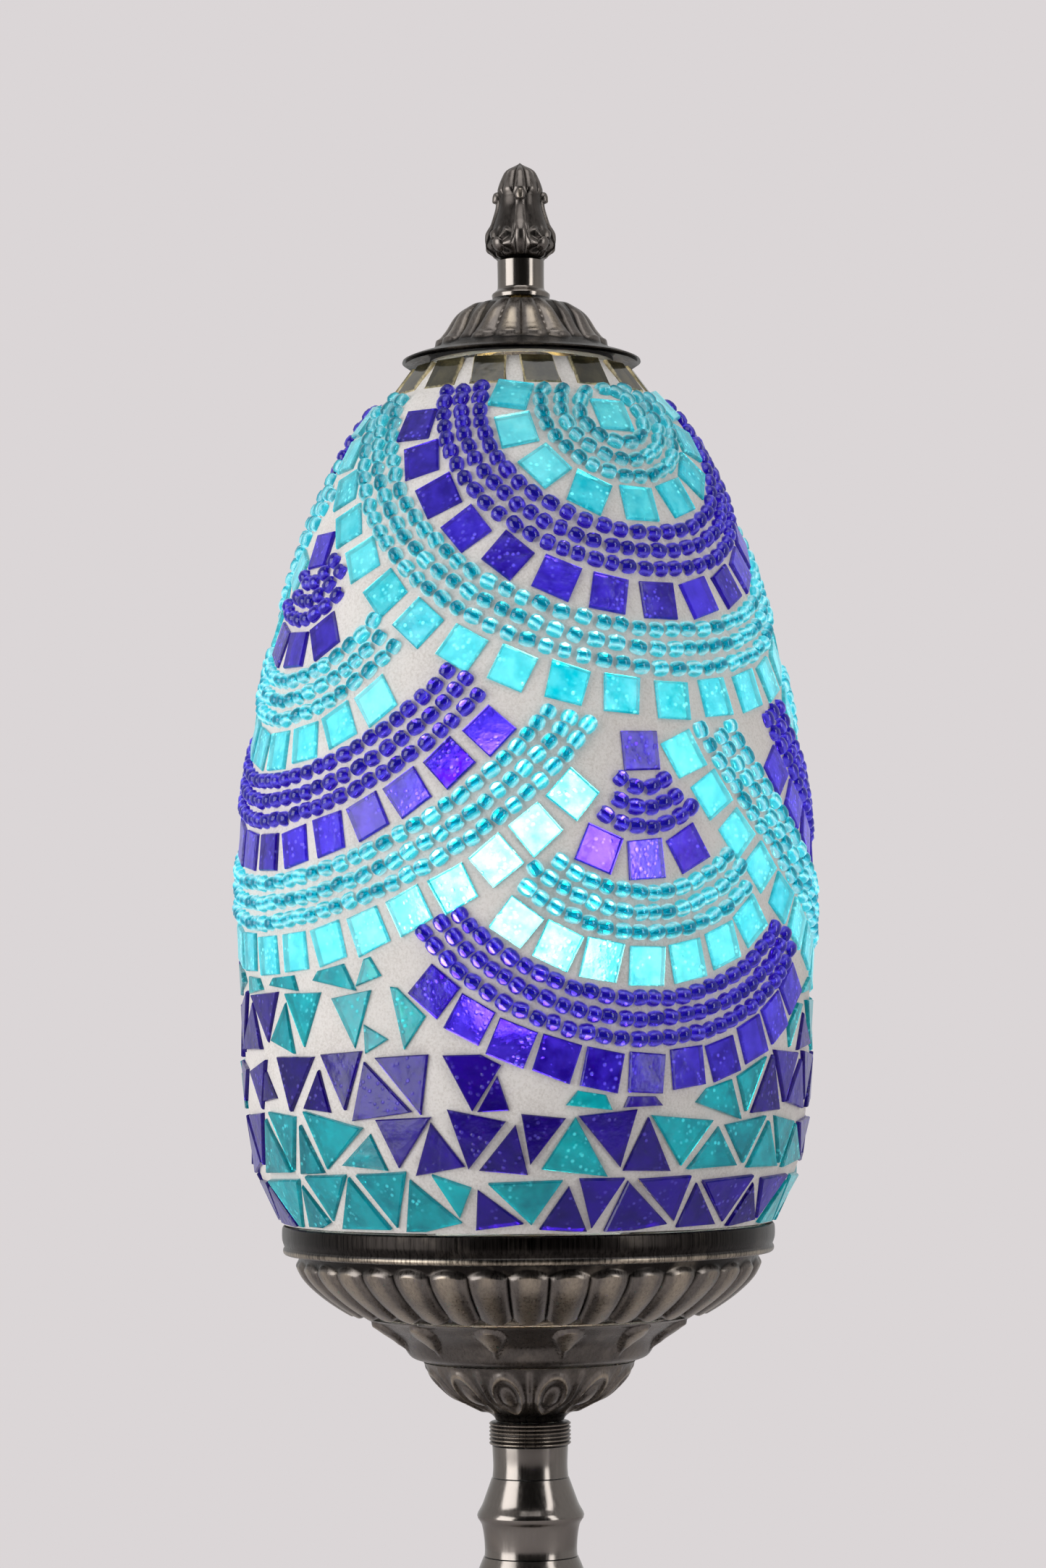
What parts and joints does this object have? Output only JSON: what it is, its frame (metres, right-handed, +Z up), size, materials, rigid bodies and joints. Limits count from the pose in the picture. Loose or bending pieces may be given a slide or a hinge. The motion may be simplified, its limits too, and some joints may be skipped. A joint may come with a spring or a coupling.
{
  "type": "mosaic glass table lamp",
  "caption": "Table lamp with a tall glass mosaic shade on a cupped metal gallery, turned stem and round weighted foot, topped by a lobed cap and screw finial.",
  "frame": {"origin": "centre of the felt pad's underside, where the lamp stands", "axes": "+Z up along the lamp's axis; +Y to the back, where the lead's inlet is; +X to the viewer's right"},
  "size_m": [0.1552, 0.1552, 0.491],
  "materials": {
    "bronze": "antique dark bronze plate, brushed, worn bright on raised edges",
    "polished_bronze": "dark bronze plate, polished",
    "blue_glass": "cut blue-violet art glass, rippled and glossy",
    "cyan_glass": "cut turquoise art glass, rippled and glossy",
    "crown_glass": "smoky olive glass, glossy",
    "grout": "warm grey cement grout, fine grit",
    "shade_glass": "clear blown glass",
    "bulb_glass": "opal bulb glass",
    "brass": "plain brass",
    "nickel": "nickel plate",
    "steel": "zinc-plated steel",
    "iron": "rough sand-cast iron",
    "ceramic": "unglazed lampholder porcelain",
    "fibre": "pressed fibre insulating sleeve",
    "rubber": "matt black rubber",
    "felt": "dense green wool felt"
  },
  "bodies": {
    "stand": {"felt_pad": "felt", "bottom_plate": "steel", "plate_screw_1": "steel", "plate_screw_2": "steel", "plate_screw_3": "steel", "base_weight": "iron", "foot_band": "bronze", "foot_skirt": "bronze", "foot_tier": "bronze", "foot_crown": "bronze", "inlet_bushing": "rubber", "threaded_tube": "steel", "foot_nut": "steel", "foot_washer": "steel", "stem_foot": "polished_bronze", "stem_lower": "polished_bronze", "stem_middle": "polished_bronze", "stem_upper": "polished_bronze", "stem_collar": "bronze", "lower_cup": "bronze", "middle_cup": "bronze", "gallery_bowl": "bronze", "gallery_rim": "bronze", "seat_gasket": "rubber", "gallery_washer": "steel", "gallery_nut": "steel", "socket_spacer": "brass", "harp_saddle": "steel", "harp_loop": "brass", "harp_stud": "brass", "socket_cap": "brass", "socket_core": "ceramic", "socket_contact": "brass", "socket_thread": "brass", "socket_liner": "fibre", "socket_shell": "brass"},
    "shade": {"shade_glass": "shade_glass", "mosaic_skirt": "blue_glass", "mosaic_waves": "cyan_glass", "mosaic_crown": "crown_glass"},
    "cap": {"top_cap": "bronze", "cap_gasket": "rubber"},
    "finial_thread": {"finial_insert": "brass"},
    "finial": {"finial": "bronze", "finial_neck": "bronze"},
    "ferrule_left": {"harp_ferrule_left": "brass"},
    "ferrule_right": {"harp_ferrule_right": "brass"},
    "bulb_thread": {"bulb_contact": "steel"},
    "bulb": {"bulb_cap": "nickel", "bulb_glass": "bulb_glass", "bulb_mount": "shade_glass"}
  },
  "joints": [
    {"name": "shade_lift", "type": "slide", "parent": "stand", "child": "shade", "axis": [0, 0, 1], "range_m": [0, 0.27]},
    {"name": "cap_lift", "type": "slide", "parent": "shade", "child": "cap", "axis": [0, 0, 1], "range_m": [0, 0.035]},
    {"name": "finial_rise", "type": "slide", "parent": "cap", "child": "finial_thread", "axis": [0, 0, 1], "range_m": [0, 0.005]},
    {"name": "finial_turn", "type": "hinge", "parent": "finial_thread", "child": "finial", "pos_m": [0, 0, 0.464], "axis": [0, 0, 1], "range_deg": [0, 1800]},
    {"name": "ferrule_left_slide", "type": "slide", "parent": "stand", "child": "ferrule_left", "axis": [0, 0, 1], "range_m": [0, 0.012]},
    {"name": "ferrule_right_slide", "type": "slide", "parent": "stand", "child": "ferrule_right", "axis": [0, 0, 1], "range_m": [0, 0.012]},
    {"name": "bulb_rise", "type": "slide", "parent": "stand", "child": "bulb_thread", "axis": [0, 0, 1], "range_m": [0, 0.0146]},
    {"name": "bulb_turn", "type": "hinge", "parent": "bulb_thread", "child": "bulb", "pos_m": [0, 0, 0.2265], "axis": [0, 0, 1], "range_deg": [0, 1440]}
  ],
  "couplings": [
    {"joint": "finial_rise", "follows": "finial_turn", "m_per_rad": 0.0001497},
    {"joint": "bulb_rise", "follows": "bulb_turn", "m_per_rad": 0.00057757}
  ]
}
